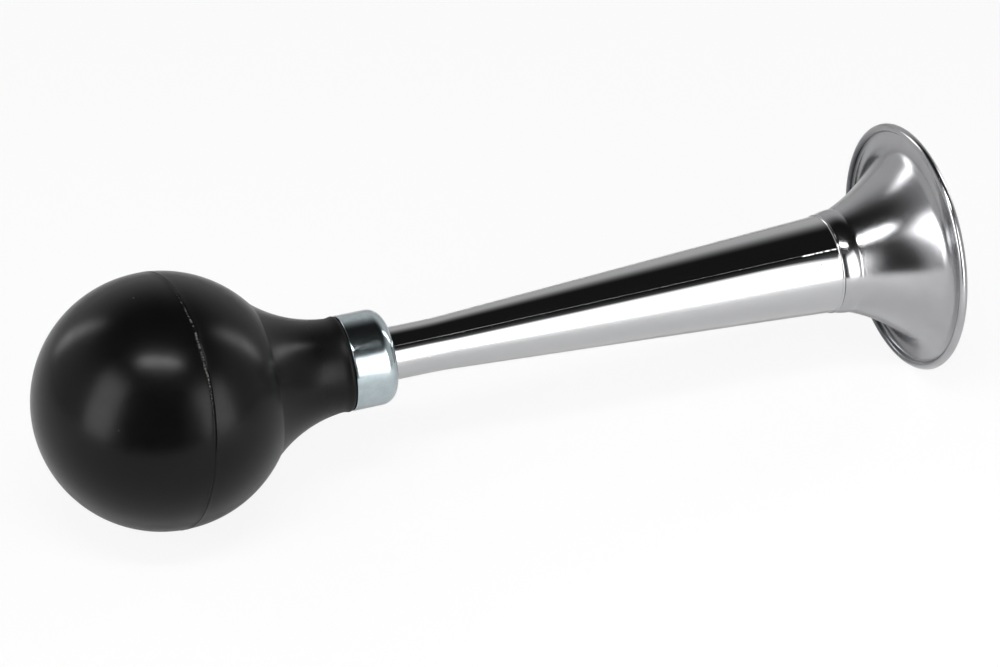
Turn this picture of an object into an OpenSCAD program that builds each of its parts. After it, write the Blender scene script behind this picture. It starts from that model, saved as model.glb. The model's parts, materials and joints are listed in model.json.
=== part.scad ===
// Bulb horn: a rubber bulb in a steel ferrule, a tapered trunk, a spun bell and a beating reed.
// All sizes are in millimetres. The horn's axis is X, the bell points along +X, and +Z is up.
// The origin is on the axis, in the middle of the straight stretch where a band clamp holds the horn.

/* [Bulb] */
// Outside diameter of the rubber ball
ball_d = 57.5; // [50:0.5:66]
// Wall of the ball
ball_wall = 3; // [2:0.1:4.5]
// Ball centre to the open end of the ferrule
neck_reach = 41.8; // [39:0.1:48]
// Outside diameter of the neck where it enters the ferrule
neck_d = 21.3; // [20.5:0.1:22]
// Diameter of the soft crease where the neck sweeps out of the ball
crease_d = 35.3; // [30:0.1:42]
// Mould seam's distance from the ball centre, towards the bell
seam_shift = 1.2; // [0:0.1:4]
// Width of the flash along the mould seam
flash_w = 0.9; // [0.4:0.1:2]
// Height of the flash above the ball
flash_h = 0.3; // [0.1:0.05:0.8]
// Radius of the rounded lip that swells behind the ferrule
lip_round = 0.9; // [0.6:0.1:1.3]
// Height of that lip above the neck
lip_h = 0.45; // [0.2:0.05:0.8]

/* [Ferrule] */
// Outside diameter of the ferrule
ferrule_d = 21.85; // [21.4:0.05:24]
// Length of the ferrule
ferrule_len = 10.4; // [8:0.1:16]
// Sheet thickness of the ferrule
ferrule_wall = 0.7; // [0.4:0.05:1]
// Outer radius of the ferrule's front shoulder
ferrule_round = 3.4; // [1.5:0.1:4.2]

/* [Trunk] */
// Diameter of the straight stretch that a clamp holds
seat_d = 12.1; // [11.6:0.1:14]
// Length of the straight stretch
seat_len = 11.6; // [8:0.1:24]
// Length of the cone, from the straight stretch to the wide end
cone_len = 97.6; // [60:0.5:160]
// Diameter of the cone at its wide end
cone_end_d = 23.2; // [20:0.1:25]
// Sheet thickness of the trunk
trunk_wall = 0.6; // [0.4:0.05:0.9]
// Height of the shoulder that stops the ferrule
shoulder_h = 0.3; // [0.2:0.05:0.5]
// Length of the spigot that the neck grips
spigot_len = 18.2; // [14:0.1:24]
// Radius of the rolled lip at the wide end
trunk_lip_round = 1.1; // [0.8:0.05:1.5]
// Height of that lip above the cone
trunk_lip_h = 0.4; // [0.2:0.05:0.7]

/* [Bell] */
// Outside diameter of the bell over its rim
mouth_d = 59.9; // [56:0.1:72]
// Sheet thickness of the bell
bell_wall = 0.6; // [0.4:0.05:0.7]
// Length of the sleeve that goes into the trunk
sleeve_len = 7; // [4:0.1:12]
// Length of the convex collar behind the flare
collar_len = 4; // [3.4:0.1:6]
// Largest diameter of the collar
collar_d = 24.9; // [24.7:0.05:26]
// Radius of the collar's convex band
collar_round = 8.5; // [7:0.1:14]
// Distance of the collar's crest from its back edge
collar_crest = 3.1; // [2:0.1:3.3]
// Slope of the flare at the throat, in degrees from the axis
throat_angle = 19.5; // [12:0.5:26]
// Radius of the fillet between the collar and the flare
throat_round = 1.3; // [0.5:0.1:2.5]
// Radius of the long sweep of the flare
flare_sweep = 42.5; // [36:0.5:50]
// Slope where the long sweep ends, in degrees from the axis
flare_angle = 46; // [40:0.5:50]
// Radius of the tight sweep that turns into the flange
flange_sweep = 3.5; // [2.5:0.1:6]
// Slope of the flange, in degrees from the axis
flange_angle = 86; // [80:0.5:88]
// Outer radius of the rolled rim
rim_round = 0.95; // [0.8:0.05:1.4]
// Turn of the rolled rim, in degrees
rim_turn = 262; // [200:1:270]

/* [Reed] */
// Length of the plug inside the spigot
bush_len = 8; // [5:0.1:12]
// Thickness of the plug's flange
bush_flange = 1; // [0.6:0.1:2]
// Diameter of the shallot
shallot_d = 6.3; // [5.6:0.1:7]
// Length of the shallot
shallot_len = 26; // [24:0.1:30]
// Bore of the shallot
shallot_bore = 3.2; // [2:0.1:3.4]
// Height of the shallot's flat above the axis
flat_h = 1.9; // [1.8:0.05:2.2]
// Thickness of the shallot's closed tip
tip_wall = 1; // [0.6:0.1:2]
// Width of the slot under the tongue
slot_w = 2.2; // [1:0.1:2.6]
// Distance of the slot from the clip
slot_setback = 0.8; // [0.4:0.1:3]
// Width of the tongue
tongue_w = 3.6; // [3:0.1:4]
// Thickness of the tongue
tongue_t = 0.25; // [0.15:0.01:0.35]
// Rise of the free tongue above the flat, in degrees
tongue_rise = 3.4; // [3.2:0.1:5]
// Length of the clip
clip_len = 2.4; // [1.6:0.1:3.2]
// Wall of the clip
clip_wall = 0.9; // [0.5:0.1:1.2]

/* [Fits] */
// Radial clearance where the bulb slides on the spigot
slide_gap = 0.05; // [0.02:0.01:0.1]
// Clearance between pieces that are pressed together
seat_gap = 0.03; // [0.01:0.01:0.06]
// Clearance above and below the tongue's root
reed_gap = 0.12; // [0.1:0.01:0.2]

/* [Hidden] */

// Steps along each rounded stretch of a profile
arc_steps = 16;
// Facets of the round solids
$fn = 96;
// How far a cutting solid passes the face that it cuts
cut_over = 1;

// Stations along the axis
x_shoulder = -seat_len / 2;
x_cone = seat_len / 2;
x_trunk_end = x_cone + cone_len;
x_spigot_end = x_shoulder - spigot_len;
x_ferrule_front = x_shoulder - slide_gap;
x_ferrule_back = x_ferrule_front - ferrule_len;
x_ball = x_ferrule_back - neck_reach;
x_seam = x_ball + seam_shift;
x_collar = x_trunk_end + seat_gap;
x_throat = x_collar + collar_len;

// Radii of the bulb and of the ferrule round it
ball_r = ball_d / 2;
cavity_r = ball_r - ball_wall;
neck_r = neck_d / 2;
spigot_r = seat_d / 2 - shoulder_h;
neck_bore_r = spigot_r + slide_gap;
ferrule_r = ferrule_d / 2;
ferrule_bore_r = ferrule_r - ferrule_wall;
neck_in_ferrule_r = ferrule_bore_r - seat_gap;

// Crease on the ball, and the sweep that runs from it into the neck, level there with the axis
ball_c = [0, x_ball];
crease = [crease_d / 2, x_ball + sqrt(ball_r * ball_r - crease_d * crease_d / 4)];
sweep_rise = crease[0] - neck_r;
sweep_run = x_ferrule_back - crease[1];
neck_sweep = (sweep_rise * sweep_rise + sweep_run * sweep_run) / (2 * sweep_rise);
sweep_c = [neck_r + neck_sweep, x_ferrule_back];
sweep_inner = sweep_c[0] - neck_bore_r;

// Points where the sweep leaves the ball inside, and where it runs into the lip
lip_c = [neck_r + lip_h - lip_round, x_ferrule_back - lip_round];
inner_meet = meeting(ball_c, cavity_r, sweep_c, sweep_inner, 1);
lip_meet = meeting(lip_c, lip_round, sweep_c, neck_sweep, -1);

// Radii of the trunk
seat_r = seat_d / 2;
spigot_bore_r = spigot_r - trunk_wall;
cone_end_r = cone_end_d / 2;
cone_slope = (cone_end_r - seat_r) / cone_len;
trunk_lip_c = [cone_end_r + trunk_lip_h - trunk_lip_round, x_trunk_end - trunk_lip_round];

// Sleeve of the bell, which follows the trunk's inside
sleeve_r = cone_end_r - trunk_wall - seat_gap;
sleeve_end_r = sleeve_r - sleeve_len * cone_slope;

// Centres of the bell's arcs: collar, long sweep, throat fillet, tight sweep and rolled rim
collar_c = [collar_d / 2 - collar_round, x_collar + collar_crest];
collar_a0 = asin(-collar_crest / collar_round);
throat_r = collar_c[0] + sqrt(collar_round * collar_round - pow(collar_len - collar_crest, 2));
flare_c = [throat_r, x_throat] + flare_sweep * [cos(throat_angle), -sin(throat_angle)];
throat_c = meeting(collar_c, collar_round + throat_round, flare_c, flare_sweep - throat_round, 1);
collar_a1 = angle_of(collar_c, throat_c);
throat_a0 = angle_on(throat_c, collar_c);
throat_a1 = angle_of(flare_c, throat_c);
flange_c = flare_c + (flare_sweep - flange_sweep) * [-cos(flare_angle), sin(flare_angle)];
flange_dir = [sin(flange_angle), cos(flange_angle)];
flange_front = [-cos(flange_angle), sin(flange_angle)];
flange_start = flange_c + flange_sweep * flange_front;
rim_r = mouth_d / 2 - rim_round;
rim_rise = (rim_r - flange_start[0] - (bell_wall - rim_round) * flange_front[0]) / flange_dir[0];
rim_c = flange_start + rim_rise * flange_dir + (bell_wall - rim_round) * flange_front;

// Stations and radii of the reed
bush_r = spigot_bore_r - seat_gap;
shallot_r = shallot_d / 2;
bush_bore_r = shallot_r + seat_gap;
x_bush_face = x_spigot_end - bush_flange - seat_gap;
x_shallot_open = x_spigot_end + bush_len;
x_tip = x_shallot_open - shallot_len;
x_clip = x_bush_face - clip_len - 2 * reed_gap;
tongue_z = flat_h + reed_gap;
tongue_reach = x_clip - x_tip - tip_wall / 2;

// Point [radius, station] on a circle about c, at an angle a from straight outwards towards the bell
function around(c, r, a) = c + r * [cos(a), sin(a)];

// Points of an arc about c, from angle a0 to angle a1
function arc(c, r, a0, a1) = [for (i = [0:arc_steps]) around(c, r, a0 + (a1 - a0) * i / arc_steps)];

// Points of a list in the other order
function back(points) = [for (i = [len(points) - 1:-1:0]) points[i]];

// Crossing of two circles: side 1 is the one nearer the bell, and side -1 the one nearer the crown
function meeting(c0, r0, c1, r1, side) =
    let (d = norm(c1 - c0))
    let (e = (c1 - c0) / d)
    let (along = (d * d + r0 * r0 - r1 * r1) / (2 * d))
    let (off = sqrt(r0 * r0 - along * along))
    c0 + along * e + side * off * [-e[1], e[0]];

// Direction of a point seen from a centre, and the same one turn on
function angle_of(c, p) = atan2(p[1] - c[1], p[0] - c[0]);
function angle_on(c, p) = 360 + angle_of(c, p);

// Turns a profile of [radius, station] points about the horn's axis
module turned(points) {
    rotate([0, 90, 0]) rotate_extrude() polygon(points);
}

// Round bar along the axis between two stations
module bar(r, x0, x1) {
    translate([x0, 0, 0]) rotate([0, 90, 0]) cylinder(r = r, h = x1 - x0);
}

// Block between two stations, centred across, between two heights
module block(w, x0, x1, z0, z1) {
    translate([x0, -w / 2, z0]) cube([x1 - x0, w, z1 - z0]);
}

// Spun sheet: sleeve, collar, flare and flange, with the edge rolled back into a rim
module bell() {
    rim_a = angle_of([0, 0], flange_front);
    outside = concat(
        [[sleeve_end_r, x_collar - sleeve_len], [sleeve_r, x_collar]],
        arc(collar_c, collar_round, collar_a0, collar_a1),
        arc(throat_c, throat_round, throat_a0, throat_a1),
        arc(flare_c, flare_sweep, throat_a1, 180 - flare_angle),
        arc(flange_c, flange_sweep, 180 - flare_angle, 180 - flange_angle),
        arc(rim_c, rim_round - bell_wall, rim_a, rim_a - rim_turn)
    );
    inside = concat(
        [[sleeve_end_r - bell_wall, x_collar - sleeve_len], [sleeve_r - bell_wall, x_collar + bell_wall]],
        arc(collar_c, collar_round - bell_wall, collar_a0 + asin(bell_wall / collar_round), collar_a1),
        arc(throat_c, throat_round + bell_wall, throat_a0, throat_a1),
        arc(flare_c, flare_sweep + bell_wall, throat_a1, 180 - flare_angle),
        arc(flange_c, flange_sweep + bell_wall, 180 - flare_angle, 180 - flange_angle),
        arc(rim_c, rim_round, rim_a, rim_a - rim_turn)
    );
    color("lightgray") turned(concat(outside, back(inside)));
}

// Sheet cone with a stepped spigot, the straight clamp seat and a rolled lip at the wide end
module trunk() {
    lip_a = acos((cone_end_r - trunk_lip_c[0]) / trunk_lip_round);
    outside = concat(
        [[spigot_r, x_spigot_end], [spigot_r, x_shoulder], [seat_r, x_shoulder], [seat_r, x_cone]],
        arc(trunk_lip_c, trunk_lip_round, -lip_a, lip_a),
        [[cone_end_r, x_trunk_end]]
    );
    inside = [
        [spigot_bore_r, x_spigot_end],
        [spigot_bore_r, x_shoulder + trunk_wall],
        [seat_r - trunk_wall, x_shoulder + trunk_wall],
        [seat_r - trunk_wall, x_cone],
        [cone_end_r - trunk_wall, x_trunk_end]
    ];
    color("silver") turned(concat(outside, back(inside)));
}

// Drawn cup over the neck, with a rounded shoulder and a hole for the spigot
module ferrule() {
    shoulder_c = [ferrule_r - ferrule_round, x_ferrule_front - ferrule_round];
    hole_r = spigot_r + slide_gap;
    profile = concat(
        [[ferrule_r, x_ferrule_back]],
        arc(shoulder_c, ferrule_round, 0, 90),
        [[hole_r, x_ferrule_front], [hole_r, x_ferrule_front - ferrule_wall]],
        arc(shoulder_c, ferrule_round - ferrule_wall, 90, 0),
        [[ferrule_bore_r, x_ferrule_back]]
    );
    color("lightsteelblue") turned(profile);
}

// Half ball with the neck: the neck sweeps out of the ball, swells into a lip and fills the ferrule
module bulb_front_half() {
    seam_r = sqrt(ball_r * ball_r - seam_shift * seam_shift);
    flash_a = asin((seam_shift + flash_w / 2) / ball_r);
    cavity_a = asin(seam_shift / cavity_r);
    x_lip = x_ferrule_back - seat_gap;
    lip_a = asin((x_lip - lip_c[1]) / lip_round);
    fill_c = [ferrule_r - ferrule_round, x_ferrule_front - ferrule_round];
    fill_r = ferrule_round - ferrule_wall - seat_gap;
    outside = concat(
        [[seam_r + flash_h, x_seam], [seam_r + flash_h, x_seam + flash_w / 2]],
        arc(ball_c, ball_r, flash_a, angle_of(ball_c, crease)),
        arc(sweep_c, neck_sweep, angle_on(sweep_c, crease), angle_on(sweep_c, lip_meet)),
        arc(lip_c, lip_round, angle_of(lip_c, lip_meet), lip_a),
        [[neck_in_ferrule_r, x_lip]],
        arc(fill_c, fill_r, 0, 90)
    );
    inside = concat(
        arc(ball_c, cavity_r, cavity_a, angle_of(ball_c, inner_meet)),
        arc(sweep_c, sweep_inner, angle_on(sweep_c, inner_meet), 180),
        [[neck_bore_r, x_ferrule_front - ferrule_wall - seat_gap]]
    );
    color([0.09, 0.09, 0.09]) turned(concat(outside, back(inside)));
}

// Half ball with the crown
module bulb_back_half() {
    seam_r = sqrt(ball_r * ball_r - seam_shift * seam_shift);
    flash_a = asin((seam_shift - flash_w / 2) / ball_r);
    x_face = x_seam - seat_gap;
    cavity_a = asin((seam_shift - seat_gap) / cavity_r);
    outside = concat(
        [[seam_r + flash_h, x_face], [seam_r + flash_h, x_seam - flash_w / 2]],
        arc(ball_c, ball_r, flash_a, -90)
    );
    inside = arc(ball_c, cavity_r, cavity_a, -90);
    color([0.09, 0.09, 0.09]) turned(concat(outside, back(inside)));
}

// Turned plug in the spigot, with a flange on the spigot's end
module reed_bush() {
    profile = [
        [bush_bore_r, x_bush_face],
        [spigot_r, x_bush_face],
        [spigot_r, x_spigot_end - seat_gap],
        [bush_r, x_spigot_end - seat_gap],
        [bush_r, x_shallot_open],
        [bush_bore_r, x_shallot_open]
    ];
    color("goldenrod") turned(profile);
}

// Brass tube with a closed tip and a slotted flat, which the tongue beats on
module reed_shallot() {
    color("gold") difference() {
        bar(shallot_r, x_tip, x_shallot_open);
        bar(shallot_bore / 2, x_tip + tip_wall, x_shallot_open + cut_over);
        block(shallot_d + cut_over, x_tip - cut_over, x_bush_face - reed_gap, flat_h, shallot_d);
        block(slot_w, x_tip + tip_wall, x_clip - slot_setback, 0, shallot_d);
    }
}

// Thin strip: its root lies flat in the clip, and its free length rises towards the tip
module reed_tongue() {
    rise = tongue_reach * tan(tongue_rise);
    x_free = x_clip - tongue_reach;
    side = [
        [x_clip + clip_len, tongue_z],
        [x_clip + clip_len, tongue_z + tongue_t],
        [x_clip, tongue_z + tongue_t],
        [x_free, tongue_z + tongue_t + rise],
        [x_free, tongue_z + rise],
        [x_clip, tongue_z]
    ];
    color("khaki") translate([0, tongue_w / 2, 0]) rotate([90, 0, 0]) linear_extrude(tongue_w) polygon(side);
}

// Band round the shallot that holds the tongue's root down on the flat
module reed_clip() {
    pocket_top = tongue_z + tongue_t + reed_gap;
    pocket_w = tongue_w + 2 * reed_gap;
    bed_z = flat_h + seat_gap;
    color("darkgoldenrod") difference() {
        intersection() {
            bar(shallot_r + clip_wall, x_clip, x_clip + clip_len);
            block(shallot_d + 2 * clip_wall, x_clip, x_clip + clip_len, -shallot_d, pocket_top + clip_wall);
        }
        intersection() {
            bar(shallot_r + seat_gap, x_clip - cut_over, x_clip + clip_len + cut_over);
            block(shallot_d + clip_wall, x_clip - cut_over, x_clip + clip_len + cut_over, -shallot_d, bed_z);
        }
        block(pocket_w, x_clip - cut_over, x_clip + clip_len + cut_over, 0, pocket_top);
    }
}

bell();
trunk();
ferrule();
bulb_front_half();
bulb_back_half();
reed_bush();
reed_shallot();
reed_tongue();
reed_clip();
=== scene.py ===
"""Bulb horn: the finish of every surface, the studio and the camera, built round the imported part.

All sizes are in metres, in the part's frame: the horn's axis is X, the bell points along +X and +Z is up.
An outline is a list of (station along the axis, radius) points, and it is turned about the axis.
Angles are in degrees. An angle round the axis is counted from the near side, -Y, upwards.
"""

import json
import math

import bpy
import numpy as np
from mathutils import Matrix, Quaternion, Vector


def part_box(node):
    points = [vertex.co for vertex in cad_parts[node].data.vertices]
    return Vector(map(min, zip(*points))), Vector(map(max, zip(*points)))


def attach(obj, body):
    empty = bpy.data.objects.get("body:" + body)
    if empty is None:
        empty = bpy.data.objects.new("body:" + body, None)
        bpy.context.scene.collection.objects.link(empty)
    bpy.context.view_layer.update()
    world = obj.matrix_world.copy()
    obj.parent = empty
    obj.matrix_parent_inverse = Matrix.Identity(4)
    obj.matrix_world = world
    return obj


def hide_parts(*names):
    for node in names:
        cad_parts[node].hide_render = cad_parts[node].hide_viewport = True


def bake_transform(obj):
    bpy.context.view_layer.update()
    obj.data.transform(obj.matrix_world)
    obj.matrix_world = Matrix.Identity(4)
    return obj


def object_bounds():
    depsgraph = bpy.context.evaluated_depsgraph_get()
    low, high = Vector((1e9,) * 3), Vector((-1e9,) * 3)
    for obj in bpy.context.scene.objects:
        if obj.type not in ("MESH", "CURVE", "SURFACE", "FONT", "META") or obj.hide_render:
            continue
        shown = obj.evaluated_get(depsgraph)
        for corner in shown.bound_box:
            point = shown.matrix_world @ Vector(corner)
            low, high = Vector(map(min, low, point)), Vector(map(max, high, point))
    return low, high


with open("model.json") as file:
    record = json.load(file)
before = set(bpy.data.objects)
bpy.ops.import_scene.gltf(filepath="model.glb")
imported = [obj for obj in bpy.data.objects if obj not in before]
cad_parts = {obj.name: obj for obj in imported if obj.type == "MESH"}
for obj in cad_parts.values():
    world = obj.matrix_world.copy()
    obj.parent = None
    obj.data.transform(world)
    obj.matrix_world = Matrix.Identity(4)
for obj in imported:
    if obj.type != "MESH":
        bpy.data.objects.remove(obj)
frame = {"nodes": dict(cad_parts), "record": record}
CAD_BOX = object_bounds()
MM = 0.001

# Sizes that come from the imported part
SEAT = next(m for m in frame["record"]["mounts"] if m["name"] == "clamp_seat")
SEAT_R = SEAT["dims"]["r_mm"] * MM
SEAT_LEN = SEAT["dims"]["length_mm"] * MM
TRUNK_LOW, TRUNK_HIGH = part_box("trunk")
BELL_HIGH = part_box("bell")[1]
FERRULE_LOW, FERRULE_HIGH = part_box("ferrule")
BULB_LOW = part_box("bulb_back_half")[0]
FLOOR_Z = CAD_BOX[0].z

# Bulb
BALL_R = 28.75 * MM
BALL_WALL = 3.0 * MM
CREASE_R = 17.65 * MM
NECK_R = 10.65 * MM
NECK_BORE_R = 5.8 * MM
LIP_ROUND = 0.9 * MM
LIP_H = 0.32 * MM
LIP_EASE = 4.0 * MM

# The bulb's mould seam: a groove along a low swell, with flash that is torn on the upper near side
SEAM_REACH = 2.6
SEAM_RINGS = 105
SEAM_TILT = 11.9
SEAM_TILT_AXIS = Vector((0, 0.753, 0.658))
SEAM_GROOVE = 0.16 * MM
SEAM_DRIFT = 0.22 * MM
SWELL_H = 0.07 * MM
SWELL_W = 0.7 * MM
FLASH_H = 0.22 * MM
FLASH_W = 0.17 * MM
FLASH_BACK = 0.32 * MM
FLASH_GAIN = 1.7
FLASH_CUT = 0.55
FLASH_REST = 0.12
TORN_W = 0.22 * MM
TORN_BACK = 0.3 * MM
TORN_GAIN = 1.6
TORN_CUT = 0.15
TORN_ANGLE = 58.0
TORN_REACH = 30.0

# Ferrule
FERRULE_WALL = 0.7 * MM
FERRULE_ROUND = 3.4 * MM
FERRULE_CORNER = 0.18 * MM

# Gaps between pieces: where the ferrule slides on the spigot, and where pieces sit on each other
SLIDE_GAP = 0.05 * MM
SEAT_GAP = 0.03 * MM

# Trunk
TRUNK_WALL = 0.6 * MM
TRUNK_CORNER = 0.12 * MM
SHOULDER_H = 0.3 * MM
SHOULDER_EDGE = 0.5 * MM
SEAT_EASE = 3.0 * MM
TRUNK_LIP_H = 0.4 * MM
TRUNK_EDGE_ROUND = 0.40 * MM
TRUNK_EDGE_H = 0.30 * MM

# The trunk's long seam: a lapped edge, worn in places, with a ridge at the wide end
LAP_ANGLE = 50.5
LAP_REACH = 10.0
LAP_H = 0.030 * MM
LAP_W = 1.2 * MM
LAP_START = 0.4 * MM
LAP_STOP = 0.9 * MM
WORN_H = 0.040 * MM
WORN_W = 0.16 * MM
WORN_BACK = 0.1 * MM
WORN_GRAIN = 0.22 * MM
WORN_GAIN = 1.6
WORN_CUT = 0.5
WORN_FROM = 0.44
RIDGE_H = 0.09 * MM
RIDGE_W = 0.20 * MM
RIDGE_LEN = 10.5 * MM
RIDGE_FADE = 1.5 * MM

# Bell, with the part of its rings that gets painted shade: a dark colour that stands in for a dark
# reflection
BELL_WALL = 0.6 * MM
SLEEVE_LEN = 7.0 * MM
COLLAR_LEN = 4.0 * MM
COLLAR_R = 12.45 * MM
COLLAR_ROUND = 8.5 * MM
COLLAR_CREST = 3.5 * MM
THROAT_ANGLE = 19.5
THROAT_ROUND = 1.3 * MM
FLARE_SWEEP = 42.5 * MM
FLARE_ANGLE = 44.9
FLANGE_SWEEP = 5.5 * MM
FLANGE_ANGLE = 86.0
RIM_ROUND = 0.95 * MM
RIM_GROOVE = 0.8 * MM
# Where the painted shade lies round the axis, how far it reaches and how it fades out
PAINTED_SHADE_ANGLE = 214.0
PAINTED_SHADE_REACH = 100.0
PAINTED_SHADE_FADE = 45.0

# Places that several pieces share
BALL_X = BULB_LOW.x + BALL_R
CREASE_X = BALL_X + math.sqrt(BALL_R ** 2 - CREASE_R ** 2)
SHOULDER_X = -SEAT_LEN / 2
CONE_X = SEAT_LEN / 2
CONE_END_R = TRUNK_HIGH.z - TRUNK_LIP_H
CONE_SLOPE = (CONE_END_R - SEAT_R) / (TRUNK_HIGH.x - CONE_X)
COLLAR_START = TRUNK_HIGH.x + SEAT_GAP
FLARE_START = COLLAR_START + COLLAR_LEN

# Camera, as it stood for the photograph
CAMERA_AZIMUTH = -20.7
CAMERA_ELEVATION = 34.4
CAMERA_DISTANCE = 0.640
CAMERA_AIM = Vector((0.0213, -0.0003, -0.0005))
CAMERA_ROLL = 0.3
CAMERA_LENS = 100.8
CAMERA_SENSOR = 36.0

# Studio: the table ends a little in front of the horn and stands above a floor, and a bar hangs over it
TABLE_FRONT = 0.24
TABLE_LENGTH = 4.0
TABLE_WIDTH = 6.0
TABLE_HEIGHT = 0.40
FLOOR_SIZE = 12.0
BAR_HEIGHT = 0.60
BAR_FORWARD = 0.246
BAR_LEFT = 0.012
BAR_LENGTH = 0.42
BAR_WIDTH = 0.09
STAND_DISTANCE = 1.5
STAND_ELEVATION = 15
STAND_WIDTH = 1.6
STAND_HEIGHT = 1.8
UP = Vector((0, 0, 1))


# Curves and outlines

def turn_from(focus, angles):
    """Turn from a focus to angles round the axis, the short way."""
    return (angles - focus + 180) % 360 - 180


def smooth(t):
    """Step from 0 to 1 that eases in and out."""
    return t * t * (3 - 2 * t)


def hump(distance, width):
    """Rounded hump of height 1 at a distance of 0."""
    return np.exp(-(distance / width) ** 2)


def patchy(noise, gain, cut):
    """Noise raised by a gain, with the lowest part of it cut to 0 and the highest held at 1."""
    return np.clip(noise * gain - cut, 0, 1)


def around(centre, radius, angle):
    """Point on a circle at an angle from straight outwards, counted towards the bell."""
    a = math.radians(angle)
    return np.array([centre[0] + radius * math.sin(a), centre[1] + radius * math.cos(a)])


def arc(centre, radius, start, end, steps):
    """Points along a circle from one angle to another."""
    return [around(centre, radius, a) for a in np.linspace(start, end, steps + 1)]


def line(start, end, steps):
    """Points along a straight stretch."""
    start, end = np.array(start), np.array(end)
    return [start + (end - start) * t for t in np.linspace(0, 1, steps + 1)]


def angle_of(centre, point):
    """Direction of a point seen from a centre."""
    return math.degrees(math.atan2(point[0] - centre[0], point[1] - centre[1]))


def crossing(c0, r0, c1, r1, side):
    """Crossing of two circles: side 1 is the one nearer the bell, and side -1 the one nearer the crown."""
    c0, c1 = np.array(c0), np.array(c1)
    d = np.linalg.norm(c1 - c0)
    e = (c1 - c0) / d
    along = (d * d + r0 * r0 - r1 * r1) / (2 * d)
    off = math.sqrt(r0 * r0 - along * along)
    return c0 + along * e + side * off * np.array([e[1], -e[0]])


def rounded(points, radius, steps=4, sharp=25):
    """A closed outline whose corners that turn by more than the sharp angle are cut by small arcs."""
    made = []
    count = len(points)
    for i in range(count):
        p, q, r = np.array(points[i - 1]), np.array(points[i]), np.array(points[(i + 1) % count])
        a, b = p - q, r - q
        la, lb = np.linalg.norm(a), np.linalg.norm(b)
        turn = math.degrees(math.acos(max(-1.0, min(1.0, -(a @ b) / (la * lb)))))
        if turn < sharp:
            made.append(q)
            continue
        cut = min(radius, 0.45 * la, 0.45 * lb)
        start, end = q + a / la * cut, q + b / lb * cut
        for t in np.linspace(0, 1, steps + 1):
            made.append((1 - t) ** 2 * start + 2 * t * (1 - t) * q + t * t * end)
    return made


# Meshes

def ring_angles(count, focus=None, reach=0.0, step=0.2):
    """Angles round the axis, with finer steps on both sides of a focus."""
    angles = np.arange(count) * 360.0 / count
    if focus is None:
        return angles
    fine = focus + np.arange(-reach, reach + step / 2, step)
    coarse = angles[np.abs(turn_from(focus, angles)) > reach + 180.0 / count]
    return np.sort(np.concatenate([coarse, fine % 360]))


def ragged(count, grain, seed):
    """Even noise round a closed ring, between 0 and 1, with grains of so many steps."""
    values = np.random.default_rng(seed).random(max(4, count // grain))
    t = np.arange(count) / count * len(values)
    i = t.astype(int)
    f = smooth(t - i)
    return values[i % len(values)] * (1 - f) + values[(i + 1) % len(values)] * f


def keep_values(mesh, name, values):
    """Gives every point a value that a finish can read."""
    attribute = mesh.attributes.new(name, "FLOAT", "POINT")
    attribute.data.foreach_set("value", values.astype(np.float32))


def turned(name, outline, angles, shape=None, smooth_angle=40, marks=None):
    """Closed mesh of an outline turned about the axis.

    An outline that starts and ends on the axis gets a point there. Otherwise it is a closed loop.
    shape moves the points. Each point keeps its distance along the outline, and its mark if marks are given.
    """
    outline = np.array(outline)
    poles = outline[0, 1] < 1e-9
    run = np.concatenate([[0], np.cumsum(np.linalg.norm(np.diff(outline, axis=0), axis=1))])
    rings = outline[1:-1] if poles else outline
    n, m = len(rings), len(angles)
    x = np.repeat(rings[:, 0], m)
    r = np.repeat(rings[:, 1], m)
    psi = np.tile(np.radians(angles), n)
    runs = np.repeat(run[1:-1] if poles else run, m)
    if shape is not None:
        x, r = shape(x, r, psi)
    co = np.stack([x, -r * np.cos(psi), r * np.sin(psi)], axis=1)
    grid = np.arange(n * m).reshape(n, m)
    nxt = np.roll(grid, -1, axis=1)
    above = np.roll(grid, -1, axis=0)
    above_nxt = np.roll(nxt, -1, axis=0)
    rows = n - 1 if poles else n
    quads = np.stack([grid, above, above_nxt, nxt], axis=-1)[:rows].reshape(-1, 4)
    corner = co[quads]
    volume = np.einsum("ij,ij->", corner[:, 0], np.cross(corner[:, 1], corner[:, 2] + corner[:, 3]))
    faces = quads.tolist()
    if poles:
        first, last = n * m, n * m + 1
        co = np.concatenate([co, [[outline[0, 0], 0, 0], [outline[-1, 0], 0, 0]]])
        runs = np.concatenate([runs, [run[0], run[-1]]])
        faces += [[first, grid[0, j], nxt[0, j]] for j in range(m)]
        faces += [[last, nxt[-1, j], grid[-1, j]] for j in range(m)]
    if volume < 0:
        faces = [f[::-1] for f in faces]
    mesh = bpy.data.meshes.new(name)
    mesh.from_pydata(co.tolist(), [], faces)
    mesh.polygons.foreach_set("use_smooth", np.ones(len(mesh.polygons), bool))
    mesh.set_sharp_from_angle(angle=math.radians(smooth_angle))
    keep_values(mesh, "run", runs)
    if marks is not None:
        keep_values(mesh, "mark", np.resize(marks, len(mesh.vertices)))
    obj = bpy.data.objects.new(name, mesh)
    bpy.context.scene.collection.objects.link(obj)
    return obj


def line_bore(mesh):
    """Gives the second material to the faces that look towards the axis."""
    normal = np.empty(3 * len(mesh.polygons))
    centre = np.empty(3 * len(mesh.polygons))
    mesh.polygons.foreach_get("normal", normal)
    mesh.polygons.foreach_get("center", centre)
    normal, centre = normal.reshape(-1, 3)[:, 1:], centre.reshape(-1, 3)[:, 1:]
    inward = (normal * centre).sum(axis=1) < -0.3 * np.linalg.norm(centre, axis=1)
    mesh.polygons.foreach_set("material_index", inward.astype(np.int32))


# Materials

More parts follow.
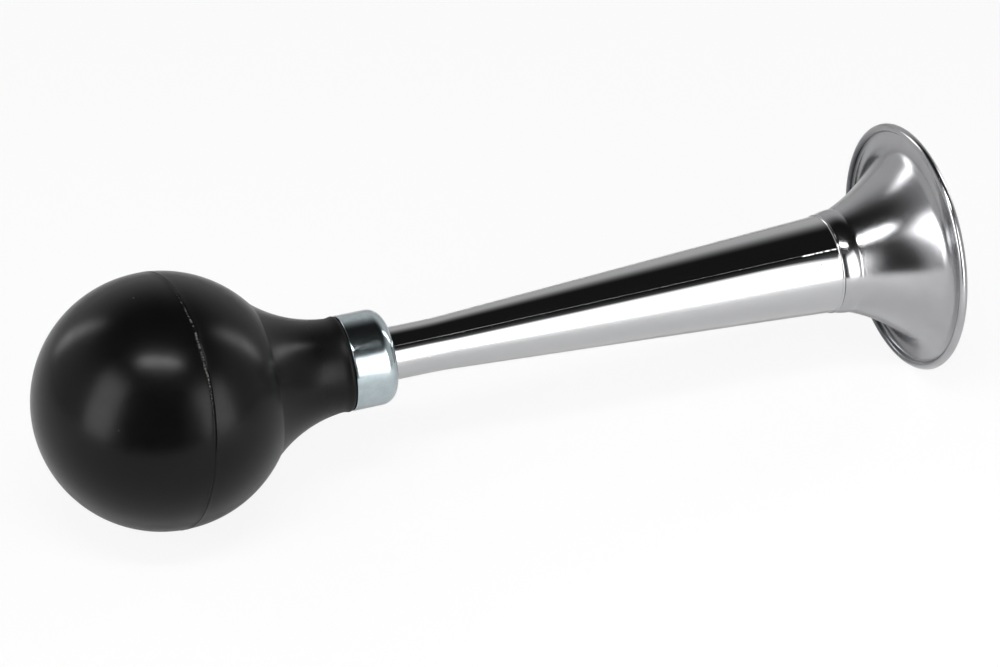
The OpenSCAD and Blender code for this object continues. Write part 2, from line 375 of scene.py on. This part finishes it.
class Finish:
    """A Principled material, with short calls to add the nodes that vary it."""

    def __init__(self, name, **sockets):
        self.material = bpy.data.materials.new(name)
        self.material.use_nodes = True
        self.tree = self.material.node_tree
        self.shader = self.tree.nodes["Principled BSDF"]
        self.drive(**sockets)

    def drive(self, **sockets):
        """Sets the shader's sockets to values, or links them to outputs."""
        for key, value in sockets.items():
            self.feed(self.shader.inputs[key.replace("_", " ")], value)

    def feed(self, socket, value):
        """Sets a socket to a value, or links it to an output."""
        if isinstance(value, bpy.types.NodeSocket):
            self.tree.links.new(value, socket)
        else:
            socket.default_value = value

    def add(self, kind, props=None, **inputs):
        """Adds a node with its own settings and inputs."""
        made = self.tree.nodes.new(kind)
        for key, value in (props or {}).items():
            setattr(made, key, value)
        for key, value in inputs.items():
            self.feed(made.inputs[key.replace("_", " ")], value)
        return made

    def show(self, shader):
        """Makes a shader node's output the surface."""
        self.feed(self.tree.nodes["Material Output"].inputs["Surface"], shader.outputs[0])

    def place(self, scale=(1, 1, 1)):
        """Coordinates in the part's frame, stretched by a scale."""
        where = self.add("ShaderNodeTexCoord").outputs["Object"]
        return self.add("ShaderNodeMapping", Vector=where, Scale=scale).outputs["Vector"]

    def station(self):
        """Place along the horn's axis."""
        return self.add("ShaderNodeSeparateXYZ", Vector=self.place()).outputs["X"]

    def value(self, name):
        """A value that the mesh keeps at its points."""
        return self.add("ShaderNodeAttribute", {"attribute_name": name}).outputs["Fac"]

    def noise(self, scale, detail=2.0, stretch=(1, 1, 1), rough=0.5):
        made = self.add("ShaderNodeTexNoise", Vector=self.place(stretch), Scale=scale, Detail=detail,
                        Roughness=rough)
        return made.outputs["Fac"]

    def lines(self, scale, detail=2.0):
        """Fine lines round the axis, which follow the distance along the outline."""
        made = self.add("ShaderNodeTexNoise", {"noise_dimensions": "1D"}, W=self.value("run"), Scale=scale,
                        Detail=detail)
        return made.outputs["Fac"]

    def cells(self, scale, stretch=(1, 1, 1)):
        """Distance from scattered points."""
        made = self.add("ShaderNodeTexVoronoi", Vector=self.place(stretch), Scale=scale)
        return made.outputs["Distance"]

    def span(self, value, low, high, out_low, out_high):
        """Maps a value from one range to another, and stays inside it."""
        made = self.add("ShaderNodeMapRange", Value=value, From_Min=low, From_Max=high, To_Min=out_low,
                        To_Max=out_high)
        return made.outputs["Result"]

    def blend(self, factor, first, second):
        """Mix of two colours."""
        made = self.add("ShaderNodeMix", {"data_type": "RGBA"})
        for socket, value in zip((made.inputs[0], made.inputs[6], made.inputs[7]), (factor, first, second)):
            self.feed(socket, value)
        return made.outputs[2]

    def math(self, operation, first, second):
        made = self.add("ShaderNodeMath", {"operation": operation})
        self.feed(made.inputs[0], first)
        self.feed(made.inputs[1], second)
        return made.outputs[0]

    def sum(self, first, second):
        return self.math("ADD", first, second)

    def product(self, first, second):
        return self.math("MULTIPLY", first, second)

    def bump(self, height, strength, distance, under=None):
        """Normal of a relief, on top of another one."""
        made = self.add("ShaderNodeBump", Height=height, Strength=strength, Distance=distance)
        if under is not None:
            self.feed(made.inputs["Normal"], under)
        return made.outputs["Normal"]


def rubber():
    """Satin black rubber with a few specks, greyer where the seam is torn and duller near the ferrule."""
    f = Finish("black_rubber", Specular_IOR_Level=0.16)
    speck = f.span(f.cells(170.0), 0.035, 0.02, 0.0, 0.5)
    cloud = f.span(f.noise(140.0, 3.0), 0.3, 0.7, 0.0, 1.0)
    body = f.blend(cloud, (0.0026, 0.0026, 0.0026, 1), (0.0031, 0.0030, 0.0030, 1))
    torn = f.value("mark")
    body = f.blend(torn, body, (0.12, 0.118, 0.115, 1))
    f.drive(Base_Color=f.blend(speck, body, (0.10, 0.095, 0.09, 1)))
    lip = f.span(f.station(), FERRULE_LOW.x - 8 * MM, FERRULE_LOW.x - 2 * MM, 0.0, 0.5)
    satin = f.span(f.noise(420.0, 4.0), 0.3, 0.7, 0.23, 0.27)
    f.drive(Roughness=f.sum(satin, f.span(f.sum(torn, lip), 0.0, 1.0, 0.0, 0.4)))
    grain = f.bump(f.noise(5200.0, 3.0), 0.10, 0.04 * MM)
    f.drive(Normal=f.bump(f.noise(300.0, 2.0), 0.05, 0.2 * MM, grain))
    return f.material


def chrome():
    """Mirror plate over slightly wavy sheet, with small pits."""
    f = Finish("chrome_plate", Base_Color=(0.485, 0.487, 0.495, 1), Metallic=1.0)
    f.drive(Roughness=f.span(f.noise(260.0, 3.0, (0.25, 1, 1)), 0.35, 0.75, 0.04, 0.085))
    pit = f.span(f.cells(260.0, (0.6, 1, 1)), 0.02, 0.07, 0.0, 1.0)
    waves = f.bump(f.noise(60.0, 2.0, (0.3, 1, 1)), 0.08, 0.6 * MM)
    f.drive(Normal=f.bump(pit, 0.25, 0.06 * MM, waves))
    return f.material


def bare_steel():
    """Dull sheet inside the trunk."""
    f = Finish("bare_steel", Metallic=1.0)
    f.drive(Base_Color=f.blend(f.noise(200.0, 4.0), (0.16, 0.155, 0.15, 1), (0.28, 0.275, 0.27, 1)))
    f.drive(Roughness=f.span(f.noise(500.0, 3.0, (0.1, 1, 1)), 0.3, 0.7, 0.32, 0.5))
    return f.material


def zinc():
    """Bluish plate, mottled and faintly stained, over drawing lines."""
    f = Finish("zinc_plate", Metallic=1.0)
    mottle = f.span(f.noise(420.0, 4.0, rough=0.65), 0.35, 0.68, 0.0, 1.0)
    plate = f.blend(mottle, (0.39, 0.455, 0.48, 1), (0.475, 0.54, 0.565, 1))
    stain = f.span(f.noise(95.0, 3.0), 0.58, 0.74, 0.0, 0.4)
    f.drive(Base_Color=f.blend(stain, plate, (0.46, 0.47, 0.40, 1)))
    f.drive(Roughness=f.span(f.noise(5200.0, 3.0, rough=0.6), 0.35, 0.65, 0.09, 0.19))
    draw = f.bump(f.lines(2600.0), 0.03, 0.02 * MM)
    f.drive(Normal=f.bump(f.noise(3200.0, 3.0), 0.10, 0.02 * MM, draw))
    return f.material


def aluminium():
    """Spun sheet: bright on the collar, satin on the flare, grainiest near the throat, with painted shade
    where marked.
    """
    f = Finish("spun_aluminium", Metallic=1.0)
    tone = f.span(f.noise(120.0, 3.0), 0.3, 0.7, 0.0, 1.0)
    bright = f.blend(tone, (0.39, 0.39, 0.405, 1), (0.43, 0.43, 0.44, 1))
    # The mark paints shade: a dark colour on the far side of the bend and rim groove, standing in for a dark
    # reflection
    f.drive(Base_Color=f.blend(f.value("mark"), bright, (0.07, 0.074, 0.082, 1)))
    station = f.station()
    satin = f.span(station, COLLAR_START + 0.9 * COLLAR_LEN, COLLAR_START + 1.2 * COLLAR_LEN, 0.0, 1.0)
    f.drive(Roughness=f.span(satin, 0.0, 1.0, 0.14, 0.175))
    near = f.span(station, FLARE_START + 4 * MM, FLARE_START + 9 * MM, 1.0, 0.4)
    grain = f.bump(f.product(f.noise(4600.0, 2.0), f.product(satin, near)), 1.0, 0.032 * MM)
    f.drive(Normal=f.bump(f.lines(4200.0, 3.0), 0.02, 0.02 * MM, grain))
    return f.material


def brass(name, colour, shade):
    """Turned or rolled brass between two tones."""
    f = Finish(name, Metallic=1.0)
    f.drive(Base_Color=f.blend(f.noise(700.0, 4.0), (*shade, 1), (*colour, 1)))
    f.drive(Roughness=f.span(f.noise(1500.0, 3.0, (0.2, 1, 1)), 0.3, 0.7, 0.18, 0.34))
    f.drive(Normal=f.bump(f.noise(2600.0, 2.0, (1, 0.1, 0.1)), 0.10, 0.03 * MM))
    return f.material


# Pieces

def bulb_outline(seam):
    """Rubber from the crown over the ball, neck and lip into the ferrule, and back by bore and cavity.

    The ball's rings at the seam are given by their angles. Also gives the number of the first of them.
    """
    centre = (BALL_X, 0)
    back = FERRULE_LOW.x
    crease = np.array([CREASE_X, CREASE_R])
    rise, reach = CREASE_R - NECK_R, back - CREASE_X
    sweep = (rise * rise + reach * reach) / (2 * rise)
    sweep_c = (back, NECK_R + sweep)
    lip_c = (back - LIP_ROUND, NECK_R + LIP_H - LIP_ROUND)
    ease_c = crossing(lip_c, LIP_ROUND + LIP_EASE, sweep_c, sweep - LIP_EASE, -1)
    sweep_end, ease_end = angle_of(sweep_c, ease_c), angle_of(lip_c, ease_c)
    lip_end = math.degrees(math.asin(1 - SEAT_GAP / LIP_ROUND))
    shoulder_c = (FERRULE_HIGH.x - FERRULE_ROUND, FERRULE_HIGH.z - FERRULE_ROUND)
    inner = sweep_c[1] - NECK_BORE_R
    cavity = BALL_R - BALL_WALL
    inner_meet = crossing(centre, cavity, sweep_c, inner, 1)
    end_x = FERRULE_HIGH.x - FERRULE_WALL - SEAT_GAP

    ball_back = arc(centre, BALL_R, -89.0, -SEAM_REACH, 80)[:-1]
    ball = ball_back + [around(centre, BALL_R, a) for a in seam]
    ball += arc(centre, BALL_R, SEAM_REACH, angle_of(centre, crease), 70)[1:]
    neck = arc(sweep_c, sweep, angle_of(sweep_c, crease), sweep_end % -360, 60)[1:]
    neck += arc(ease_c, LIP_EASE, sweep_end % -360, ease_end - 180, 12)[1:]
    lip = arc(lip_c, LIP_ROUND, ease_end, lip_end, 14)[1:]
    held = [np.array([back - SEAT_GAP, FERRULE_HIGH.z - FERRULE_WALL - SEAT_GAP])]
    held += arc(shoulder_c, FERRULE_ROUND - FERRULE_WALL - SEAT_GAP, 0, 90, 10)
    bore = line((end_x, NECK_BORE_R), (back, NECK_BORE_R), 8)
    inside = arc(sweep_c, inner, 180, angle_of(sweep_c, inner_meet) % 360, 24)[1:]
    inside += arc(centre, cavity, angle_of(centre, inner_meet), -90, 36)[1:]
    outline = [around(centre, BALL_R, -90)] + ball + neck + lip + held + bore + inside
    outline[0][1] = 0
    outline[-1][1] = 0
    return outline, len(ball_back)


def make_bulb():
    """One rubber shell for both halves, with the mould seam round the ball."""
    seam = np.linspace(-SEAM_REACH, SEAM_REACH, SEAM_RINGS)
    outline, first = bulb_outline(seam)
    angles = ring_angles(600, TORN_ANGLE, TORN_REACH)
    count = len(angles)
    aside = turn_from(TORN_ANGLE, angles) / TORN_REACH
    torn_share = np.clip(1.15 - aside * aside, FLASH_REST, 1)
    flash = patchy(ragged(count, grain=3, seed=3), FLASH_GAIN, FLASH_CUT) * torn_share
    drift = (ragged(count, grain=17, seed=9) - 0.5) * SEAM_DRIFT
    across = np.radians(seam)[:, None] * BALL_R - drift
    lift = np.zeros((len(outline) - 2, count))
    torn = np.zeros_like(lift)
    rows = slice(first, first + SEAM_RINGS)
    lift[rows] = SWELL_H * hump(across, SWELL_W) - SEAM_GROOVE * hump(across, SEAM_GROOVE)
    lift[rows] += FLASH_H * flash * hump(across + FLASH_BACK, FLASH_W)
    torn[rows] = patchy(hump(across + TORN_BACK, TORN_W) * flash, TORN_GAIN, TORN_CUT)

    def shape(x, r, psi):
        scale = 1 + lift.ravel() / BALL_R
        return BALL_X + (x - BALL_X) * scale, r * scale

    bulb = turned("bulb", outline, angles, shape, smooth_angle=75, marks=torn.ravel())
    tilt_rings(bulb)
    return bulb


def tilt_rings(bulb):
    """Turns the ball's rings about its centre, fully behind the seam and not at all at the crease.

    The points stay on the ball, and the mould seam comes to lie aslant as on the real bulb.
    """
    centre = np.array([BALL_X, 0, 0])
    axis = np.array(SEAM_TILT_AXIS.normalized())
    free = 0.12 * BALL_R
    co = np.empty(3 * len(bulb.data.vertices))
    bulb.data.vertices.foreach_get("co", co)
    co = co.reshape(-1, 3)
    arm = co - centre
    on_ball = (co[:, 0] < CREASE_X) & (np.linalg.norm(arm, axis=1) > BALL_R - BALL_WALL / 2)
    t = np.clip((CREASE_X - free - co[:, 0]) / (CREASE_X - BALL_X - 2 * free), 0, 1)
    turn = (math.radians(SEAM_TILT) * smooth(t))[:, None]
    swung = arm * np.cos(turn) + np.cross(axis, arm) * np.sin(turn)
    swung += axis * (arm @ axis)[:, None] * (1 - np.cos(turn))
    co[on_ball] = (centre + swung)[on_ball]
    bulb.data.vertices.foreach_set("co", co.ravel())
    bulb.data.update()


def make_ferrule():
    """Drawn cup with a rounded shoulder."""
    hole = SEAT_R - SHOULDER_H + SLIDE_GAP
    r, front, back = FERRULE_HIGH.z, FERRULE_HIGH.x, FERRULE_LOW.x
    shoulder_c = (front - FERRULE_ROUND, r - FERRULE_ROUND)
    outline = line((back, r), (shoulder_c[0], r), 12)[:-1]
    outline += arc(shoulder_c, FERRULE_ROUND, 0, 90, 24)
    outline += [(front, hole), (front - FERRULE_WALL, hole)]
    outline += arc(shoulder_c, FERRULE_ROUND - FERRULE_WALL, 90, 0, 16)
    outline += [(back, r - FERRULE_WALL)]
    return turned("ferrule_cup", rounded(outline, FERRULE_CORNER), ring_angles(360))


def trunk_outline():
    """Spigot, seat, cone and lip outside, and the bore."""
    spigot = SEAT_R - SHOULDER_H
    end_x = TRUNK_HIGH.x
    lip_c = (end_x - TRUNK_EDGE_ROUND, CONE_END_R + TRUNK_EDGE_H - TRUNK_EDGE_ROUND)
    lip_a = math.degrees(math.acos((CONE_END_R - lip_c[1]) / TRUNK_EDGE_ROUND))
    lip = arc(lip_c, TRUNK_EDGE_ROUND, -lip_a, lip_a, 20)
    bend = CONE_SLOPE * SEAT_EASE
    outer = [(TRUNK_LOW.x, spigot), (SHOULDER_X, spigot), (SHOULDER_X, SEAT_R)]
    outer += line((SHOULDER_X + SHOULDER_EDGE, SEAT_R), (CONE_X - SEAT_EASE, SEAT_R), 24)
    for s in np.linspace(-1, 1, 13)[1:-1]:
        outer.append((CONE_X + s * SEAT_EASE, SEAT_R + bend * (s + 1) ** 2 / 4))
    outer += line((CONE_X + SEAT_EASE, SEAT_R + bend), lip[0], 320)[:-1]
    outer += lip + [(end_x, CONE_END_R)]
    inner = [
        (end_x, CONE_END_R - TRUNK_WALL),
        (CONE_X, SEAT_R - TRUNK_WALL),
        (SHOULDER_X + TRUNK_WALL, SEAT_R - TRUNK_WALL),
        (SHOULDER_X + TRUNK_WALL, spigot - TRUNK_WALL),
        (TRUNK_LOW.x, spigot - TRUNK_WALL),
    ]
    return rounded(outer + inner, TRUNK_CORNER)


def make_trunk():
    """Rolled cone with its long seam, the seat, the spigot and the rolled lip."""
    end_x = TRUNK_HIGH.x
    rough = np.random.default_rng(21).random(4000)

    def shape(x, r, psi):
        d = np.radians(turn_from(LAP_ANGLE, np.degrees(psi))) * r
        grain = rough[np.clip(((x - TRUNK_LOW.x) / WORN_GRAIN).astype(int), 0, len(rough) - 1)]
        wall = SEAT_R + CONE_SLOPE * np.maximum(x - CONE_X, 0) - TRUNK_WALL / 2
        outside = (r > wall) & (x > SHOULDER_X + LAP_START) & (x < end_x - LAP_STOP)
        lap = LAP_H * np.exp(-np.abs(d) / LAP_W) * np.where(d > 0, 1, -1)
        worn = (x < CONE_X) | (x > CONE_X + WORN_FROM * (end_x - CONE_X))
        groove = WORN_H * worn * patchy(grain, WORN_GAIN, WORN_CUT) * hump(d + WORN_BACK, WORN_W)
        near_end = np.clip((x - end_x + RIDGE_LEN) / RIDGE_FADE, 0, 1)
        ridge = RIDGE_H * near_end * hump(d, RIDGE_W)
        return x, r + np.where(outside, lap - groove + ridge, 0)

    trunk = turned("trunk_cone", trunk_outline(), ring_angles(480, LAP_ANGLE, LAP_REACH), shape)
    line_bore(trunk.data)
    return trunk


def make_bell():
    """Spun sheet: sleeve, collar, flare and flange, with the edge rolled back into a closed rim.

    The bend behind the flange and the groove inside the rim get painted shade on the far side: a darker
    colour that stands in for a dark reflection.
    """
    sleeve_r = CONE_END_R - TRUNK_WALL - SEAT_GAP
    sleeve_end = (COLLAR_START - SLEEVE_LEN, sleeve_r - SLEEVE_LEN * CONE_SLOPE)
    collar_c = (COLLAR_START + COLLAR_CREST, COLLAR_R - COLLAR_ROUND)
    collar_a0 = math.degrees(math.asin(-COLLAR_CREST / COLLAR_ROUND))
    throat_a = math.degrees(math.asin((COLLAR_LEN - COLLAR_CREST) / COLLAR_ROUND))
    throat = around(collar_c, COLLAR_ROUND, throat_a)
    flare_c = throat - around((0, 0), FLARE_SWEEP, 180 - THROAT_ANGLE)
    flare_a, rim_a = 180 - FLARE_ANGLE, 180 - FLANGE_ANGLE
    flange_c = flare_c + around((0, 0), FLARE_SWEEP - FLANGE_SWEEP, flare_a)
    fillet_c = crossing(collar_c, COLLAR_ROUND + THROAT_ROUND, flare_c, FLARE_SWEEP - THROAT_ROUND, 1)
    fillet_a0, fillet_a1 = angle_of(fillet_c, collar_c) % 360, angle_of(flare_c, fillet_c) % 360
    collar_a1 = angle_of(collar_c, fillet_c)

    front = around((0, 0), 1, rim_a)
    along = np.array([-front[1], front[0]])
    start = flange_c + FLANGE_SWEEP * front
    sink = (BELL_WALL - RIM_ROUND) * front
    rise = (BELL_HIGH.z - RIM_ROUND - start[1] - sink[1]) / along[1]
    rim_c = start + rise * along + sink
    groove_reach = math.sqrt((RIM_ROUND + RIM_GROOVE) ** 2 - (RIM_GROOVE - RIM_ROUND + BELL_WALL) ** 2)
    groove_c = start + (rise - groove_reach) * along - RIM_GROOVE * front
    rim_touch = angle_of(rim_c, groove_c)

    plain = [sleeve_end, (COLLAR_START, sleeve_r)]
    plain += arc(collar_c, COLLAR_ROUND, collar_a0, collar_a1, 40)
    plain += arc(fillet_c, THROAT_ROUND, fillet_a0, fillet_a1, 16)[1:]
    plain += arc(flare_c, FLARE_SWEEP, fillet_a1, flare_a, 150)[1:]
    bend = arc(flange_c, FLANGE_SWEEP, flare_a, rim_a, 50)[1:]
    groove = arc(groove_c, RIM_GROOVE, rim_a, rim_touch + 180, 16)
    bead = arc(rim_c, RIM_ROUND, rim_touch, rim_a, 60)[1:-1]
    inset = math.degrees(math.asin(BELL_WALL / COLLAR_ROUND))
    inner = [(sleeve_end[0], sleeve_end[1] - BELL_WALL), (COLLAR_START + BELL_WALL, sleeve_r - BELL_WALL)]
    inner += arc(collar_c, COLLAR_ROUND - BELL_WALL, collar_a0 + inset, collar_a1, 16)
    inner += arc(fillet_c, THROAT_ROUND + BELL_WALL, fillet_a0, fillet_a1, 12)[1:]
    inner += arc(flare_c, FLARE_SWEEP + BELL_WALL, fillet_a1, flare_a, 120)[1:]
    inner += arc(flange_c, FLANGE_SWEEP + BELL_WALL, flare_a, rim_a, 40)[1:]
    inner += [around(rim_c, RIM_ROUND, rim_a)]

    angles = ring_angles(480)
    # Painted shade: the bend, the groove and the part of the bead next to the groove are darkened on the far
    # side, standing in for a dark reflection
    bend_shade = np.sin(np.linspace(0, math.pi, len(bend))) ** 2
    bead_shade = np.clip(np.linspace(1, -1, len(bead)), 0, 1)
    painted_shade = [np.zeros(len(plain)), bend_shade, np.linspace(0, 1, len(groove)), bead_shade, np.zeros(len(inner))]
    share = np.clip((PAINTED_SHADE_REACH - np.abs(turn_from(PAINTED_SHADE_ANGLE, angles))) / PAINTED_SHADE_FADE, 0, 1)
    marks = np.outer(np.concatenate(painted_shade), smooth(share))
    return turned("bell_horn", plain + bend + groove + bead + inner[::-1], angles, marks=marks.ravel())


# Studio

def spot(azimuth, elevation, distance):
    """Place in a direction from the origin: azimuth 0 is the near side, and 90 is beyond the bell."""
    a, e = math.radians(azimuth), math.radians(elevation)
    return Vector((math.sin(a) * math.cos(e), -math.cos(a) * math.cos(e), math.sin(e))) * distance


def sheet(name, place, facing, width, height, finish, across=None):
    """Flat stage panel that faces a direction, with its width level or along a given direction."""
    mesh = bpy.data.meshes.new(name)
    w, h = width / 2, height / 2
    mesh.from_pydata([(-w, -h, 0), (w, -h, 0), (w, h, 0), (-w, h, 0)], [], [(0, 1, 2, 3)])
    obj = bpy.data.objects.new(name, mesh)
    bpy.context.scene.collection.objects.link(obj)
    z = facing.normalized()
    x = (across or UP.cross(z)).normalized()
    obj.matrix_world = Matrix.Translation(place) @ Matrix((x, z.cross(x), z)).transposed().to_4x4()
    mesh.materials.append(finish)
    return obj


def glow(name, radiance, soft):
    """Light that fades towards a panel's edges, over shares of its half width and half height."""
    f = Finish(name)
    split = f.add("ShaderNodeSeparateXYZ", Vector=f.add("ShaderNodeTexCoord").outputs["Generated"]).outputs
    fade = [f.span(f.math("PINGPONG", split[i], 0.5), 0.0, soft[i] / 2, 0.0, 1.0) for i in (0, 1)]
    strength = f.product(f.product(fade[0], fade[1]), radiance)
    f.show(f.add("ShaderNodeEmission", Strength=strength))
    f.tree.nodes.remove(f.shader)
    return f.material


def softbox(name, azimuth, elevation, width, height, radiance, soft, distance):
    """Lit panel that faces the horn.

    The azimuth is counted from the camera. Width and height are the angles that the panel fills.
    """
    place = spot(CAMERA_AZIMUTH + azimuth, elevation, distance)
    size = [2 * distance * math.tan(math.radians(x / 2)) for x in (width, height)]
    obj = sheet(name, place, -place, *size, glow(name, radiance, soft))
    obj.visible_camera = False


def lamps():
    """Two panels to the left and right of the camera, two strips behind the horn and a bar overhead.

    A black stand behind the camera keeps that side dark.
    """
    softbox("panel_left", azimuth=-50, elevation=20, width=30, height=56, radiance=5.2,
            soft=(0.4, 0.4), distance=0.65)
    softbox("panel_right", azimuth=46, elevation=17, width=36, height=56, radiance=4.5,
            soft=(0.25, 0.5), distance=0.27)
    softbox("strip_left", azimuth=-124, elevation=21, width=13, height=50, radiance=4.9,
            soft=(0.6, 0.6), distance=2.2)
    softbox("strip_right", azimuth=123, elevation=26, width=12, height=48, radiance=7.0,
            soft=(0.6, 0.6), distance=1.3)
    forward = spot(CAMERA_AZIMUTH, 0, 1)
    right = spot(CAMERA_AZIMUTH + 90, 0, 1)
    place = BAR_HEIGHT * UP + BAR_FORWARD * forward - BAR_LEFT * right
    lamp = glow("bar_top", radiance=30.0, soft=(0.2, 0.8))
    bar = sheet("bar_top", place, -UP, BAR_LENGTH, BAR_WIDTH, lamp, right)
    bar.visible_camera = False
    dark = Finish("stand_black", Base_Color=(0.02, 0.02, 0.02, 1), Roughness=1.0)
    place = spot(CAMERA_AZIMUTH, STAND_ELEVATION, STAND_DISTANCE)
    stand = sheet("stand", place, -place, STAND_WIDTH, STAND_HEIGHT, dark.material)
    stand.visible_camera = False


def table():
    """White table under the horn, and a white floor below it."""
    forward = spot(CAMERA_AZIMUTH, 0, 1)
    right = spot(CAMERA_AZIMUTH + 90, 0, 1)
    white = table_white()
    top = FLOOR_Z * UP
    middle = top + (TABLE_FRONT - TABLE_LENGTH / 2) * forward
    sheet("table", middle, UP, TABLE_WIDTH, TABLE_LENGTH, white, right)
    sheet("floor", top - TABLE_HEIGHT * UP, UP, FLOOR_SIZE, FLOOR_SIZE, white, right)


def table_white():
    """Part of the table's white is seen as it is, and the rest is lit and keeps the shadow."""
    f = Finish("table_white", Roughness=0.9, Specular_IOR_Level=0.0)
    f.drive(Base_Color=f.blend(f.noise(3.0), (0.88, 0.88, 0.88, 1), (0.90, 0.90, 0.90, 1)))
    path = f.add("ShaderNodeLightPath").outputs
    mirrored = f.product(f.sum(path["Is Glossy Ray"], path["Is Transmission Ray"]), 0.05)
    seen = f.sum(f.product(path["Is Camera Ray"], 0.88), mirrored)
    white = f.add("ShaderNodeEmission", Color=(1, 1, 1, 1), Strength=1.0)
    mixed = f.add("ShaderNodeMixShader", Fac=seen)
    f.feed(mixed.inputs[1], f.shader.outputs[0])
    f.feed(mixed.inputs[2], white.outputs[0])
    f.show(mixed)
    return f.material


def room():
    """Grey walls of the room up to a dark ceiling."""
    world = bpy.data.worlds.new("room")
    bpy.context.scene.world = world
    world.use_nodes = True
    tree = world.node_tree
    way = tree.nodes.new("ShaderNodeTexCoord").outputs["Generated"]
    split = tree.nodes.new("ShaderNodeSeparateXYZ")
    tree.links.new(way, split.inputs[0])
    ramp = tree.nodes.new("ShaderNodeMapRange")
    ramp.interpolation_type = "SMOOTHSTEP"
    for key, value in {"From Min": 0.39, "From Max": 0.87, "To Min": 0.65, "To Max": 0.015}.items():
        ramp.inputs[key].default_value = value
    tree.links.new(split.outputs["Z"], ramp.inputs["Value"])
    tree.links.new(ramp.outputs["Result"], tree.nodes["Background"].inputs["Strength"])
    tree.nodes["Background"].inputs["Color"].default_value = (1, 1, 1, 1)


def camera():
    """Camera of the photograph."""
    data = bpy.data.cameras.new("camera")
    data.lens = CAMERA_LENS
    data.sensor_width = CAMERA_SENSOR
    obj = bpy.data.objects.new("camera", data)
    bpy.context.scene.collection.objects.link(obj)
    back = spot(CAMERA_AZIMUTH, CAMERA_ELEVATION, 1)
    obj.location = CAMERA_AIM + back * CAMERA_DISTANCE
    obj.rotation_mode = "QUATERNION"
    roll = Quaternion((0, 0, 1), math.radians(CAMERA_ROLL))
    obj.rotation_quaternion = (-back).to_track_quat("-Z", "Y") @ roll
    bpy.context.scene.camera = obj


# Dressing the part

def dress(piece, body, nodes, slot, *materials):
    """Gives a piece its materials and lets it stand for its CAD nodes."""
    for m in materials:
        piece.data.materials.append(m)
    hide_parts(*nodes)
    if body:
        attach(piece, body)


dress(make_trunk(), "horn", ["trunk"], "chrome_plate", chrome(), bare_steel())
dress(make_bell(), "horn", ["bell"], "spun_aluminium", aluminium())
dress(make_ferrule(), "bulb_unit", ["ferrule"], "zinc_plate", zinc())
bulb = make_bulb()
dress(bulb, None, ["bulb_front_half", "bulb_back_half"], "black_rubber", rubber())
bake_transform(bulb)

REED_BRASS = brass("reed_brass", (0.74, 0.55, 0.26), (0.60, 0.42, 0.18))
TONGUE_BRASS = brass("tongue_brass", (0.82, 0.66, 0.34), (0.72, 0.55, 0.25))
for node in ("reed_bush", "reed_shallot", "reed_clip", "reed_tongue"):
    slots = frame["nodes"][node].data.materials
    slots.clear()
    slots.append(TONGUE_BRASS if node == "reed_tongue" else REED_BRASS)

lamps()
table()
room()
camera()
bpy.context.scene.view_settings.view_transform = "Standard"
